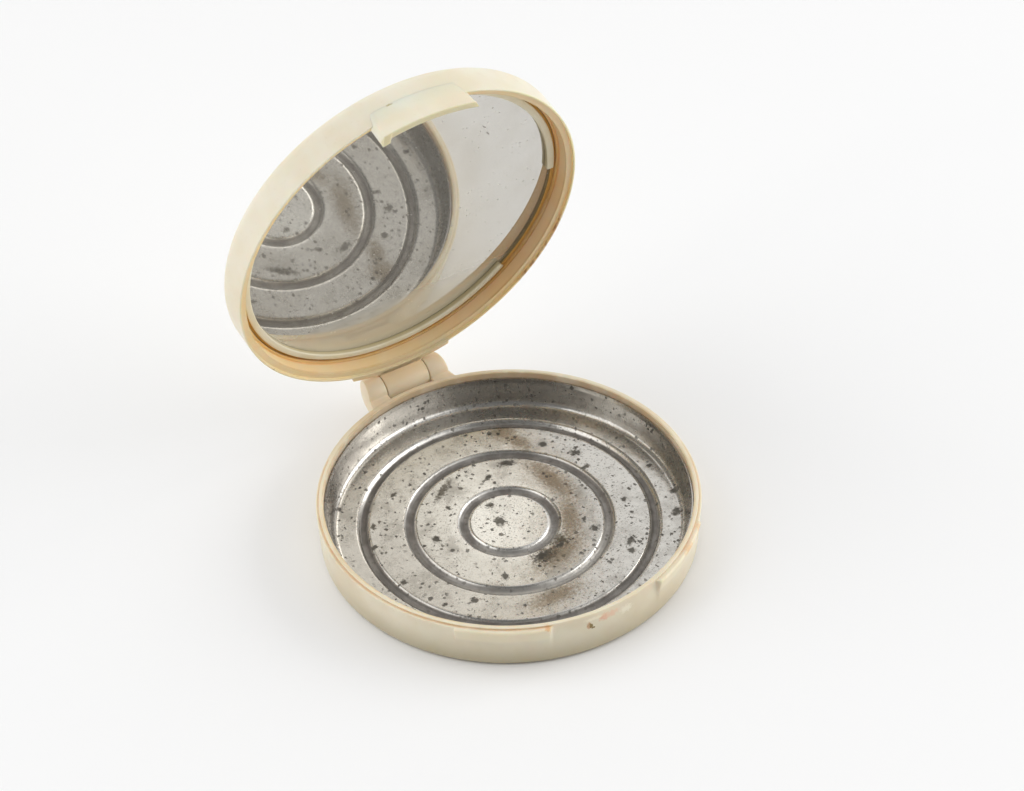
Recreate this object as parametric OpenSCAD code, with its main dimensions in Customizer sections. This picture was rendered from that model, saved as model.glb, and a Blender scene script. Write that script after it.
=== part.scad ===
// Round powder compact: a shallow base with a pressed tin pan and a hinged lid with a mirror.
// Millimetres. Z is up from the table, +Y points to the hinge and X runs along the hinge pin.
// The origin is the centre of the base's underside, and the lid stands open as in use.
// Every lid piece is drawn closed, over the base, and is then turned open about the pin.

/* [Pose] */
// Angle that the lid stands open, in degrees from closed
lid_open = 80.5; // [0:0.5:100]

/* [Casings] */
// Outside diameter of both casings at the parting line
case_d = 75; // [70:1:90]
// Height of the base from the table to the ledge that the lid meets
base_h = 9.4; // [8.6:0.1:12]
// Thickness of the base's floor
base_floor = 1.6; // [1:0.1:2]
// How far the base's wall leans in, from the ledge down to the table
base_lean = 0.5; // [0:0.1:0.8]
// Rounding of the base's bottom edge
base_round = 1.2; // [0.4:0.1:1.6]
// Height of the lid above the parting line
lid_h = 8.5; // [8:0.1:12]
// Rounding of the lid's top edge
lid_round = 3.2; // [1:0.1:3.6]
// Thickness of the lid's top
lid_top = 2; // [1.2:0.1:2.4]
// Thickness of the lid's wall, from the outside to its bore
lid_wall = 1.75; // [1.6:0.05:2]

/* [Closing rim] */
// Width of the ledge outside the base's raised rim
ledge_w = 0.6; // [0.5:0.05:0.8]
// Thickness of the raised rim
rim_t = 0.9; // [0.8:0.05:1.2]
// Height of the raised rim above the ledge
rim_h = 0.4; // [0.3:0.05:0.6]
// Clearance round the raised rim inside the lid
rim_gap = 0.15; // [0.1:0.01:0.2]
// Gap between the closed lid and the ledge
parting_gap = 0.1; // [0.05:0.01:0.2]
// Rounding of the raised rim and of both casings' edges, and easing of the tab's outer edge
edge_round = 0.15; // [0.05:0.01:0.2]

/* [Finger relief] */
// Width of the relief in the base's wall, under the thumb tab
relief_w = 23.8; // [22.8:0.1:26]
// How far the relief reaches down from the ledge
relief_drop = 6.4; // [6:0.1:6.8]
// How far the relief leans out toward its foot, where it runs out into the wall
relief_lean = 0.23; // [0.21:0.01:0.3]
// How far the finger ledges beside the relief stand out from the wall
finger_out = 0.45; // [0.2:0.05:0.8]
// Height of the finger ledges
finger_h = 3.5; // [2:0.1:4]
// Angle from the front to the far end of each finger ledge
finger_end = 47; // [30:1:60]

/* [Thumb tab] */
// Width of the tab along its lower edge
tab_w = 21.5; // [16:0.5:22.4]
// Angle of the bevel on each end of the tab, in degrees
tab_bevel = 30; // [10:1:45]
// Angle that each end of the tab leans in toward the lid, in degrees
tab_end_lean = 2; // [0:1:20]
// How far the tab hangs below the parting line
tab_drop = 4.3; // [2.5:0.1:4.5]
// How far the lug at each end of the tab hangs below the rest, along its inner edge
tab_lip = 0.9; // [0.3:0.1:1]
// Width of each lug
tab_lug = 1.8; // [1:0.1:4]
// How far the tab's swell climbs the lid's wall
tab_rise = 3.1; // [2:0.1:4]
// Thickness of the tab at its lower edge
tab_t = 1.25; // [0.8:0.05:1.5]
// Clearance between the closed tab and the relief
tab_gap = 0.15; // [0.12:0.01:0.3]

/* [Hinge] */
// Radius of the knuckles
knuckle_r = 3; // [2.6:0.1:3.2]
// Length of all three knuckles together, along the pin
hinge_len = 17.2; // [15:0.2:20]
// Angle that the outer end of each base knuckle flares, from the pin toward the rim
hinge_flare = 10; // [0:1:15]
// Length of the middle knuckle, on the lid
middle_len = 9.5; // [8:0.1:10]
// Gap between neighbouring knuckles
knuckle_gap = 0.2; // [0.1:0.05:0.4]
// Distance of the pin's centre outside the casing wall
pin_out = 3.85; // [3.7:0.05:4.4]
// Drop of the pin's centre below the ledge
pin_drop = 0.65; // [0.4:0.05:1]
// Diameter of the hinge pin
pin_d = 1.8; // [1.2:0.1:2]
// Radial clearance of the pin in the base's knuckles, which grip it
pin_grip = 0.015; // [0.01:0.005:0.03]
// Radial clearance of the pin in the lid's knuckle, which turns on it
pin_run = 0.06; // [0.03:0.01:0.1]
// Thickness of the closed end of the left knuckle, which the pin is pushed in toward
pin_cap = 1; // [0.6:0.1:1.4]
// Play between the pin and that closed end
pin_play = 0.1; // [0.05:0.05:0.3]
// How far the pin's other end lies inside the right knuckle
pin_inset = 0.3; // [0.2:0.1:0.8]
// Width of the thickened land on the lid's wall, which carries the knuckle
land_w = 22; // [20:0.5:26]
// How far the land stands out from the wall
land_out = 0.9; // [0.3:0.05:1]
// Height of the land above the parting line
land_h = 2.6; // [1.5:0.1:3]

/* [Pan] */
// Thickness of the tin
tin_t = 0.3; // [0.25:0.05:0.5]
// Radius of each pressed channel, as a share of the flat floor's radius
channel_shares = [0.267, 0.586, 0.862];
// Width of each pressed channel
channel_w = 2.8; // [2.4:0.1:3.2]
// Width of the flat along the bottom of each channel, which rests on the base's floor
channel_flat = 0.5; // [0.3:0.05:0.8]
// Depth of each pressed channel
channel_deep = 0.8; // [0.4:0.05:0.9]
// How far the pan's wall leans in from its rim to its floor
pan_lean = 1.4; // [0.8:0.1:1.8]
// Radius of the bend between the pan's floor and its wall
pan_bend = 1.5; // [1.2:0.1:2.2]
// How far the pan's rim lies below the top of the raised rim
pan_drop = 1.3; // [1.2:0.1:2]
// Height of the upright band at the top of the pan's wall
pan_band = 1.1; // [0.6:0.1:1.4]
// Clearance round the pan's rim
pan_gap = 0.1; // [0.05:0.01:0.2]

/* [Mirror] */
// How far the mirror's well is stepped in from the lid's bore
well_step = 0.5; // [0.3:0.05:0.7]
// Thickness of the card behind the glass
card_t = 1.5; // [0.8:0.05:1.6]
// Thickness of the glass
glass_t = 1; // [0.8:0.05:1.6]
// Thickness of the split ring that holds the glass
ring_t = 0.6; // [0.4:0.05:0.8]
// Width of the split ring's face
ring_w = 1.8; // [1.2:0.05:2.4]
// Gap between the ring and the well's wall
ring_gap = 0.45; // [0.1:0.05:0.6]
// Clearance round the glass and the card
glass_gap = 0.35; // [0.2:0.05:0.5]
// Where the gap in the split ring starts, in degrees from +X toward the hinge
split_start = 0; // [-40:1:40]
// Width of the gap in the split ring, in degrees
split_angle = 44; // [10:1:60]
// Bevel on the two exposed edges of the ring's face
ring_bevel = 0.25; // [0.1:0.05:0.35]

/* [Hidden] */
$fn = 96;
// Steps along each flank of a pressed channel, and along the pan's bend
channel_steps = 7;
bend_steps = 8;
// Overrun of every cut past the face that it opens
over = case_d / 50;

case_r = case_d / 2;
// Base: radii of the raised rim's outside and of the dish inside it
rim_r = case_r - ledge_w;
dish_r = rim_r - rim_t;
rim_top = base_h + rim_h;
foot_r = case_r - base_lean;
base_rise = base_h - base_round;
// The closed lid starts a little above the ledge
lid_z = base_h + parting_gap;
// Hinge axis
pin_y = case_r + pin_out;
pin_z = base_h - pin_drop;
land_r = case_r + land_out;
side_len = (hinge_len - middle_len) / 2 - knuckle_gap;
// Lid bores, from the parting line inward
rebate_r = rim_r + rim_gap;
rebate_h = rim_h + rim_gap + parting_gap;
bore_r = case_r - lid_wall;
well_r = bore_r - well_step;
// The mirror's stack, counted down from the lid's ceiling
ceiling_z = lid_z + lid_h - lid_top;
card_z = ceiling_z - card_t;
glass_z = card_z - glass_t;
ring_z = glass_z - ring_t;
ring_r = well_r - ring_gap;
glass_r = well_r - glass_gap;
// Tab, leaning out with the relief: heights of its lower edge, of its lugs and of its top
tab_foot_z = lid_z - tab_drop;
tab_lug_z = tab_foot_z - tab_lip;
tab_top_z = lid_z + tab_rise;
tab_top_r = rim_r + tab_gap;
tab_foot_r = rim_r + relief_lean * (base_h - tab_lug_z) / relief_drop + tab_gap;
// Pan: heights of the sheet's middle surface, and radii of its rim and floor
rim_mid_r = dish_r - pan_gap - tin_t / 2;
flat_z = base_floor + channel_deep + tin_t / 2;
pan_top = rim_top - pan_drop;
band_z = pan_top - pan_band;
wall_foot_r = rim_mid_r - pan_lean;
// Direction of the pan's wall, in degrees up from the floor, and where its bend starts
wall_angle = atan2(band_z - flat_z, pan_lean);
bend_r = wall_foot_r - pan_bend * tan(wall_angle / 2);

function unit(v) = v / norm(v);
function ends(path, i) = [path[max(i - 1, 0)], path[min(i + 1, len(path) - 1)]];
function side(path, i) =
    let (pair = ends(path, i), along = unit(pair[1] - pair[0]))
    [-along[1], along[0]];
// Outline of a sheet of one thickness whose middle follows the path
function sheet(path, thick) = concat(
    [for (i = [0:len(path) - 1]) path[i] + side(path, i) * thick / 2],
    [for (i = [len(path) - 1:-1:0]) path[i] - side(path, i) * thick / 2]);

// One flank of a pressed channel, from its flat bottom out to the pan's floor
function flank(share) =
    [channel_flat / 2 + share * (channel_w - channel_flat) / 2,
     flat_z - channel_deep * (1 + cos(180 * share)) / 2];
function channel(centre_r) = concat(
    [for (i = [channel_steps:-1:0])
        let (point = flank(i / channel_steps)) [centre_r - point[0], point[1]]],
    [for (i = [0:channel_steps])
        let (point = flank(i / channel_steps)) [centre_r + point[0], point[1]]]);
function bend() = [
    for (i = [0:bend_steps])
        let (turn = wall_angle * i / bend_steps)
        [bend_r + pan_bend * sin(turn), flat_z + pan_bend * (1 - cos(turn))]];
function pan_path() = concat(
    [[0, flat_z]],
    [for (share = channel_shares) each channel(bend_r * share)],
    bend(), [[rim_mid_r, band_z], [rim_mid_r, pan_top]]);
// Radius of the base's leaning wall at a height
function wall_r(height) = foot_r + base_lean * (height - base_round) / base_rise;

module turn_open() {
    translate([0, pin_y, pin_z])
        rotate([-lid_open, 0, 0])
            translate([0, -pin_y, -pin_z])
                children();
}

// A round bar along the hinge axis, centred on the middle of the hinge
module hinge_bar(radius, length, middle_x = 0) {
    translate([middle_x, pin_y, pin_z])
        rotate([0, 90, 0])
            cylinder(r = radius, h = length, center = true);
}

// A slab along the hinge axis, drawn by its outline in Y and Z
module hinge_slab(outline, length, middle_x = 0) {
    translate([middle_x - length / 2, 0, 0])
        rotate([90, 0, 90])
            linear_extrude(height = length)
                polygon(outline);
}

module base_shell() {
    bottom_r = foot_r - base_round;
    shoulder_r = case_r - edge_round;
    shoulder_z = base_h - edge_round;
    crown_r = rim_r - edge_round;
    crown_z = rim_top - edge_round;
    rotate_extrude() {
        polygon([[0, 0], [bottom_r, 0], [bottom_r, base_round], [foot_r, base_round],
                 [case_r, shoulder_z], [shoulder_r, base_h], [rim_r, base_h], [rim_r, crown_z],
                 [crown_r, rim_top], [0, rim_top]]);
        translate([bottom_r, base_round])
            intersection() {
                circle(r = base_round);
                translate([0, -base_round])
                    square(base_round);
            }
        translate([shoulder_r, shoulder_z])
            circle(r = edge_round);
        translate([crown_r, crown_z])
            circle(r = edge_round);
    }
}

// One band swept round the front, which the relief later parts into two ledges
module finger_ledges() {
    nose_z = base_h - finger_out;
    foot_z = base_h - finger_h;
    rotate([0, 0, -90 - finger_end])
        rotate_extrude(angle = finger_end * 2) {
            polygon([[rim_r, base_h], [case_r, base_h], [case_r + finger_out, nose_z],
                     [wall_r(foot_z), foot_z], [rim_r, foot_z]]);
            translate([case_r, nose_z])
                circle(r = finger_out);
        }
}

// The finger relief takes the wall back to the raised rim, so that the tab can hang there
module relief_cut() {
    reach_r = case_r + finger_out + over;
    foot_z = base_h - relief_drop;
    intersection() {
        rotate_extrude()
            polygon([[rim_r, rim_top], [rim_r, base_h], [rim_r + relief_lean, foot_z],
                     [reach_r, foot_z], [reach_r, rim_top]]);
        translate([-relief_w / 2, -reach_r, 0])
            cube([relief_w, case_r, rim_top]);
    }
}

// Each base knuckle is drawn too long, and its flared outer end is cut off
module base_knuckles() {
    root_y = dish_r - rim_t;
    low_z = pin_z - knuckle_r;
    shelf_z = base_h - parting_gap;
    drawn_len = side_len + knuckle_r;
    difference() {
        for (way = [-1, 1]) {
            middle_x = way * (hinge_len / 2 - side_len + drawn_len / 2);
            hinge_bar(knuckle_r, drawn_len, middle_x);
            hinge_slab([[root_y, shelf_z], [pin_y, shelf_z], [pin_y, low_z], [root_y, low_z]],
                       drawn_len, middle_x);
        }
        for (way = [0, 1])
            mirror([way, 0, 0])
                translate([hinge_len / 2, pin_y, 0])
                    rotate([0, 0, hinge_flare])
                        translate([0, -case_r, 0])
                            cube([case_r, case_r * 2, case_r]);
    }
}

module base_casing() {
    color("#e3d9bd")
        difference() {
            union() {
                base_shell();
                finger_ledges();
                base_knuckles();
            }
            translate([0, 0, base_floor])
                cylinder(r = dish_r, h = rim_top);
            relief_cut();
            // The pin's bore, open at its right end alone
            hinge_bar(pin_d / 2 + pin_grip, hinge_len - pin_cap + over, (pin_cap + over) / 2);
        }
}

module powder_pan() {
    color("#a9a6a0")
        rotate_extrude()
            polygon(sheet(pan_path(), tin_t));
}

module lid_shell() {
    turn_r = case_r - lid_round;
    turn_z = lid_z + lid_h - lid_round;
    lip_r = case_r - edge_round;
    lip_z = lid_z + edge_round;
    rotate_extrude() {
        polygon([[0, lid_z], [lip_r, lid_z], [case_r, lip_z], [case_r, turn_z],
                 [turn_r, turn_z], [turn_r, lid_z + lid_h], [0, lid_z + lid_h]]);
        translate([lip_r, lip_z])
            circle(r = edge_round);
        translate([turn_r, turn_z])
            intersection() {
                circle(r = lid_round);
                square(lid_round);
            }
    }
}

// The thickened land on the lid's wall, an arc as wide as the hinge needs
module lid_land() {
    intersection() {
        rotate_extrude()
            translate([bore_r, lid_z])
                square([land_r - bore_r, land_h]);
        translate([-land_w / 2, 0, lid_z])
            cube([land_w, land_r, land_h]);
    }
}

// A band of the tab's turned section, cut off at both ends by leaning, bevelled planes
// and cut level between the two lugs
module thumb_tab() {
    tab_h = tab_top_z - tab_lug_z;
    tab_turn = asin(tab_w / 2 / tab_foot_r);
    corner_y = tab_foot_r * cos(tab_turn);
    level_w = tab_w - tab_lug * 2;
    difference() {
        rotate([0, 0, -90 - tab_turn * 2])
            rotate_extrude(angle = tab_turn * 4)
                polygon([[tab_top_r, lid_z], [tab_foot_r, tab_lug_z],
                         [tab_foot_r + tab_t, tab_foot_z + edge_round], [case_r, tab_top_z],
                         [tab_top_r, tab_top_z]]);
        translate([-level_w / 2, -case_r - tab_t - over, tab_lug_z - over])
            cube([level_w, case_r, tab_lip + over]);
        for (way = [0, 1])
            mirror([way, 0, 0])
                translate([tab_w / 2, -corner_y, tab_lug_z])
                    rotate([0, -tab_end_lean, 0])
                        rotate([0, 0, -tab_bevel])
                            translate([0, -case_r / 2, -tab_h])
                                cube([case_r, case_r, tab_h * 3]);
    }
}

module lid_knuckle() {
    hinge_bar(knuckle_r, middle_len);
    hinge_slab([[rim_r, lid_z], [rim_r, lid_z + land_h], [land_r, lid_z + land_h],
                [pin_y, pin_z + knuckle_r], [pin_y, lid_z]], middle_len);
}

module lid_bores() {
    cut_z = lid_z - over;
    rotate_extrude() {
        translate([0, cut_z])
            square([rebate_r, rebate_h + over]);
        translate([0, cut_z])
            square([bore_r, ring_z - cut_z]);
        translate([0, cut_z])
            square([well_r, ceiling_z - cut_z]);
    }
}

module lid_casing() {
    color("#ebe2c8")
        turn_open()
            difference() {
                union() {
                    lid_shell();
                    thumb_tab();
                    lid_land();
                    lid_knuckle();
                }
                lid_bores();
                hinge_bar(pin_d / 2 + pin_run, middle_len + over);
            }
}

module mirror_backing() {
    color("#8c7a5c")
        turn_open()
            translate([0, 0, card_z])
                cylinder(r = glass_r, h = card_t);
}

module mirror_glass() {
    color("#c9d2d2")
        turn_open()
            translate([0, 0, glass_z])
                cylinder(r = glass_r, h = glass_t);
}

module mirror_ring() {
    inner_r = ring_r - ring_w;
    color("#efe9d6")
        turn_open()
            rotate([0, 0, split_start + split_angle])
                rotate_extrude(angle = 360 - split_angle)
                    polygon([[inner_r, glass_z], [inner_r, ring_z + ring_bevel],
                             [inner_r + ring_bevel, ring_z], [ring_r - ring_bevel, ring_z],
                             [ring_r, ring_z + ring_bevel], [ring_r, glass_z]]);
}

module hinge_pin() {
    pin_start = pin_cap + pin_play;
    color("#8e8b86")
        hinge_bar(pin_d / 2, hinge_len - pin_start - pin_inset, (pin_start - pin_inset) / 2);
}

base_casing();
powder_pan();
lid_casing();
mirror_backing();
mirror_glass();
mirror_ring();
hinge_pin();
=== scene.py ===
"""The open powder compact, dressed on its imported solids. Sizes below are in millimetres."""
import math
from collections import namedtuple

import bmesh
import bpy
from mathutils import Matrix, Vector


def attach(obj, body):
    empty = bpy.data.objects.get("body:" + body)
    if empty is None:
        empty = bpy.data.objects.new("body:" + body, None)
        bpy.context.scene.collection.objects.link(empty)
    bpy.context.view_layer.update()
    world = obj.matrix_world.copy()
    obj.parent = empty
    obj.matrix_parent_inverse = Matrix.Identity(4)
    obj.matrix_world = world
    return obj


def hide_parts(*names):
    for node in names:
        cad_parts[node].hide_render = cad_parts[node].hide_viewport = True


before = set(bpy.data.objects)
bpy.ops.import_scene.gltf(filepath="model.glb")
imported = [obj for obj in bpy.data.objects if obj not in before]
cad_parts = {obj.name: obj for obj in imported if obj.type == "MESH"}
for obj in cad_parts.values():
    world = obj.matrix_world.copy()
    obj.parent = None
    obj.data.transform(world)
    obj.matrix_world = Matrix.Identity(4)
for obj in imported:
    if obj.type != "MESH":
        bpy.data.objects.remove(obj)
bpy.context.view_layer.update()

MM = 0.001

# Base casing. The finger relief ends in a blend, in millimetres, and the finger ledges at an
# azimuth in another, in degrees; the wall's even stations stay clear of both by some degrees
CASE_R, FOOT_R, BASE_H, BASE_ROUND, BASE_FLOOR = 37.5, 37.0, 9.4, 1.2, 1.6
RIM_R, DISH_R, RIM_TOP, EDGE = 36.9, 36.0, 9.8, 0.15
RELIEF_HALF, RELIEF_FOOT_Z, RELIEF_FOOT_R, RELIEF_BLEND, RELIEF_CLEAR = 11.9, 3.21, 37.12, 1.2, 1.2
FINGER_OUT, FINGER_FOOT_Z, FINGER_END, FINGER_BLEND, FINGER_CLEAR = 0.45, 5.9, 47.0, 0.45, 0.6
# Lid casing, drawn closed, and the radii that ease its inner edges and corners
LID_Z, LID_TOP_Z, LID_ROUND = 9.5, 18.0, 3.2
REBATE_R, REBATE_Z, BORE_R, WELL_R = 37.05, 10.15, 35.75, 35.25
EDGE_EASE, STEP_EASE, CORNER_EASE = 0.1, 0.12, 0.08
LAND_R, LAND_IN_R, LAND_HALF, LAND_Z = 38.4, 37.2, 11.0, 12.1
# Mirror and its ring, which narrows between two azimuths toward the hinge
RING_Z, CEILING_Z = 12.9, 16.0
GLASS_R, GROUND_R, GROUND_Z, SILVER_Z, CARD_Z = 35.15, 34.4, 13.5, 14.05, 14.5
RING_OUT_R, RING_IN_R, RING_EDGE, RING_START, RING_STOP = 34.7, 33.2, 0.22, 44.0, 360.0
RING_NARROWING, RING_FULL_AT, RING_NARROW_AT = 0.25, 310.0, 200.0
# Thumb tab: half widths at its foot, and how far its ends lean in for each millimetre up
TAB_HALF, TAB_LUG, TAB_IN_LEAN, TAB_OUT_HALF, TAB_OUT_LEAN = 10.72, 1.8, 0.035, 9.92, 0.13
TAB_FOOT_Z, TAB_LUG_Z, TAB_TOP_Z = 5.2, 4.3, 12.6
TAB_IN_R, TAB_FOOT_R, TAB_TOP_R, TAB_T = 37.06, 37.24, 37.47, 1.23
# Hinge. The base knuckles' roots end just under the ledge, and run into the dish's wall by less
# at a knuckle's inner end than at its outer one
HINGE_Y, HINGE_Z, KNUCKLE_R, MIDDLE_HALF, MIDDLE_ROOT_Y = 41.35, 8.75, 3.0, 4.75, 37.3
SIDE_IN, SIDE_OUT, FLARE, ROOT_IN, ROOT_OUT, ROOT_Z = 4.95, 8.6, 10.0, 0.15, 0.9, 9.3
BORE_HOLE_R, PIN_CAP = 0.96, 1.0
LID_OPEN = 80.5
# Pressed pan, and where its channels lie as shares of its floor's radius
PAN_R, PAN_TOP, PAN_FLAT_Z, PAN_LEAN, PAN_BEND, PAN_BAND, TIN_T = 35.75, 8.5, 2.55, 1.4, 1.5, 1.1, 0.3
CHANNEL_W, CHANNEL_FLAT, CHANNEL_DEEP = 2.8, 0.5, 0.8
CHANNEL_SHARES = (0.267, 0.586, 0.862)
# Edges sharper than these many degrees stay sharp in the shading
SHARP, TIN_SHARP = 32, 50
# Points nearer than a weld become one, and an edge shorter than a sliver goes
WELD, SLIVER, PAN_WELD = 0.0008, 0.0004, 0.0005

HINGE = Vector((0, HINGE_Y, HINGE_Z))
OPENING = (Matrix.Translation(HINGE) @ Matrix.Rotation(math.radians(-LID_OPEN), 4, "X")
           @ Matrix.Translation(-HINGE))

# The node kinds used most
MATH, VECTOR_MATH, MAPPING = "ShaderNodeMath", "ShaderNodeVectorMath", "ShaderNodeMapping"
RANGE, NOISE, JOIN = "ShaderNodeMapRange", "ShaderNodeTexNoise", "ShaderNodeCombineXYZ"

Place = namedtuple("Place", "point flat radius arc x y z")


def srgb(code):
    """An sRGB hex colour as the linear colour that shaders take."""
    parts = [int(code[i:i + 2], 16) / 255 for i in (1, 3, 5)]
    return tuple(c / 12.92 if c <= 0.04045 else ((c + 0.055) / 1.055) ** 2.4 for c in parts) + (1.0,)


def put(tree, kind, inputs=None, out=0, **settings):
    """Adds a node with its settings, values and links, and returns one output, or the node for None."""
    node = tree.nodes.new(kind)
    for name, value in settings.items():
        setattr(node, name, value)
    for name, value in (inputs or {}).items():
        if isinstance(value, bpy.types.NodeSocket):
            tree.links.new(value, node.inputs[name])
        else:
            node.inputs[name].default_value = value
    return node if out is None else node.outputs[out]


def ramp(node, *stops):
    """Sets a colour ramp's stops, each a place and a colour, and returns its colour."""
    elements = node.color_ramp.elements
    while len(elements) < len(stops):
        elements.new(0.5)
    for element, (place, code) in zip(elements, stops):
        element.position = place
        element.color = srgb(code)
    return node.outputs[0]


# Places and patterns

def places(tree, on_lid=False):
    """Where a point lies, in millimetres.

    On the lid this is where the point lies with the lid shut. The arc is the azimuth as a length
    round the casing's wall, 0 at the thumb tab and positive toward +X.
    """
    turn = OPENING.inverted() if on_lid else Matrix.Identity(4)
    point = put(tree, "ShaderNodeTexCoord", out=3)
    point = put(tree, MAPPING, {"Vector": point, "Scale": (1 / MM,) * 3, "Rotation": turn.to_euler(),
                                "Location": turn.translation})
    x, y, z = put(tree, "ShaderNodeSeparateXYZ", {0: point}, out=None).outputs
    flat = put(tree, JOIN, {0: x, 1: y})
    radius = put(tree, VECTOR_MATH, {0: flat}, out=1, operation="LENGTH")
    front = put(tree, MATH, {0: y, 1: -1.0}, operation="MULTIPLY")
    azimuth = put(tree, MATH, {0: x, 1: front}, operation="ARCTAN2")
    arc = put(tree, MATH, {0: azimuth, 1: CASE_R}, operation="MULTIPLY")
    return Place(point, flat, radius, arc, x, y, z)


def overlap(tree, first, *others):
    """Where several masks meet: their product."""
    for other in others:
        first = put(tree, MATH, {0: first, 1: other}, operation="MULTIPLY")
    return first


def either(tree, first, *others):
    """Where any of several masks lies: their largest."""
    for other in others:
        first = put(tree, MATH, {0: first, 1: other}, operation="MAXIMUM")
    return first


def band(tree, value, low, high, soft):
    """1 where the value lies between low and high, fading to 0 over the soft width."""
    middle, half = (low + high) / 2, (high - low) / 2
    away = put(tree, MATH, {0: value, 1: middle}, operation="SUBTRACT")
    away = put(tree, MATH, {0: away}, operation="ABSOLUTE")
    return put(tree, RANGE, {0: away, 1: half, 2: half + soft, 3: 1.0, 4: 0.0},
               interpolation_type="SMOOTHSTEP")


def blotch(tree, point, size, low, high, detail=3.0, rough=0.55):
    """Cloudy patches about so many millimetres across: 0 under the low level, 1 over the high one."""
    cloud = put(tree, NOISE, {"Vector": point, "Scale": 1 / size, "Detail": detail, "Roughness": rough})
    return put(tree, RANGE, {0: cloud, 1: low, 2: high}, interpolation_type="SMOOTHSTEP")


def fraying(tree, point, scale, reach, detail=4.0, rough=0.5):
    """Noise from minus to plus the reach, which makes the outline of marks ragged."""
    cloud = put(tree, NOISE, {"Vector": point, "Scale": scale, "Detail": detail, "Roughness": rough})
    return put(tree, MATH, {0: cloud, 1: 2 * reach, 2: -reach}, operation="MULTIPLY_ADD")


def patches(tree, point, marks, ragged, soft=0.3):
    """Oval marks, each (x, y, half width, half height, turn in degrees), with one ragged outline."""
    nearest = None
    for x, y, wide, tall, turn in marks:
        away = put(tree, MAPPING, {
            "Vector": point, "Location": (x, y, 0), "Rotation": (0, 0, math.radians(turn)),
            "Scale": (wide, tall, 1000)}, vector_type="TEXTURE")
        away = put(tree, VECTOR_MATH, {0: away}, out=1, operation="LENGTH")
        nearest = away if nearest is None else put(
            tree, MATH, {0: nearest, 1: away}, operation="MINIMUM")
    nearest = put(tree, MATH, {0: nearest, 1: ragged}, operation="ADD")
    return put(tree, RANGE, {0: nearest, 1: 1 - soft, 2: 1 + soft, 3: 1.0, 4: 0.0},
               interpolation_type="SMOOTHSTEP")


def specks(tree, point, pitch, largest, seed_shift, wobble):
    """Round-ish specks, at most one in each cell of the pitch, most of them small."""
    moved = put(tree, VECTOR_MATH, {0: point, 1: (seed_shift, seed_shift, 0)}, operation="ADD")
    moved = put(tree, VECTOR_MATH, {0: moved, 1: wobble}, operation="ADD")
    cells = put(tree, "ShaderNodeTexVoronoi", {
        "Vector": moved, "Scale": 1 / pitch, "Randomness": 0.9}, out=None)
    chance = put(tree, "ShaderNodeSeparateColor", {0: cells.outputs["Color"]})
    reach = put(tree, MATH, {0: chance, 1: 4.0}, operation="POWER")
    reach = put(tree, MATH, {0: reach, 1: largest / pitch, 2: 0.03}, operation="MULTIPLY_ADD")
    away = put(tree, MATH, {0: reach, 1: cells.outputs["Distance"]}, operation="SUBTRACT")
    return put(tree, RANGE, {0: away, 1: 0.0, 2: 0.06}, interpolation_type="SMOOTHSTEP")


def painted(tree, base, coats):
    """A base colour under coats, each a mask and a colour; colours are hex codes or outputs."""
    for mask, tint in coats:
        under, over = (srgb(c) if isinstance(c, str) else c for c in (base, tint))
        base = put(tree, "ShaderNodeMix", {0: mask, 6: under, 7: over}, out=2, data_type="RGBA")
    return base


def new_surface(name, **constants):
    """A material with its Principled shader's constants set; gives it, its tree and the shader."""
    material = bpy.data.materials.new(name)
    material.use_nodes = True
    tree = material.node_tree
    shader = tree.nodes["Principled BSDF"]
    for socket, value in constants.items():
        shader.inputs[socket.replace("_", " ")].default_value = value
    return material, tree, shader


def feed(tree, shader, **sources):
    """Links outputs to the shader's sockets."""
    for socket, source in sources.items():
        tree.links.new(source, shader.inputs[socket.replace("_", " ")])


# Materials

def aged_ivory(name, on_lid, pale, deep, stains_and_painted_light, marks):
    """Compression-moulded ivory plastic: a soft gloss, gone yellow in clouds, finely scratched.

    Its thin walls let a little warm light through. The function given for stains, called with tree and at,
    lists masks and colours, painted shade and highlight among them; marks lists (colour, softness, patches),
    set out by arc round the wall and by height.
    """
    material, tree, shader = new_surface(
        name, IOR=1.5, Subsurface_Weight=0.4, Subsurface_Radius=(1.0, 0.6, 0.35),
        Subsurface_Scale=0.002)
    at = places(tree, on_lid)
    freckle = overlap(tree, blotch(tree, at.point, 0.9, 0.58, 0.8, 4.0), 0.16)
    coats = [(blotch(tree, at.point, 14, 0.35, 0.7), deep), (freckle, "#c9b88c")] + stains_and_painted_light(tree, at)
    ragged = fraying(tree, at.point, 2.4, 1.1, rough=0.6)
    unrolled = put(tree, JOIN, {0: at.arc, 1: at.z})
    for tint, soft, group in marks:
        coats.append((patches(tree, unrolled, group, ragged, soft), tint))
    # Handling has dulled it unevenly, and left hair scratches a tenth of a millimetre wide
    haze = put(tree, RANGE, {0: blotch(tree, at.point, 6, 0.3, 0.75), 3: 0.33, 4: 0.5})
    stretched = put(tree, MAPPING, {
        "Vector": at.point, "Scale": (0.25, 3.0, 1.2), "Rotation": (0.3, 0.5, 0.9)})
    scratches = put(tree, NOISE, {
        "Vector": stretched, "Scale": 1.5, "Detail": 5.0, "Roughness": 0.7})
    swell = put(tree, NOISE, {"Vector": at.point, "Scale": 0.16, "Detail": 2.0})
    height = put(tree, MATH, {0: scratches, 1: 0.08, 2: swell}, operation="MULTIPLY_ADD")
    bump = put(tree, "ShaderNodeBump", {"Height": height, "Strength": 0.25, "Distance": 0.00025})
    feed(tree, shader, Base_Color=painted(tree, pale, coats), Roughness=haze, Normal=bump)
    return material


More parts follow.
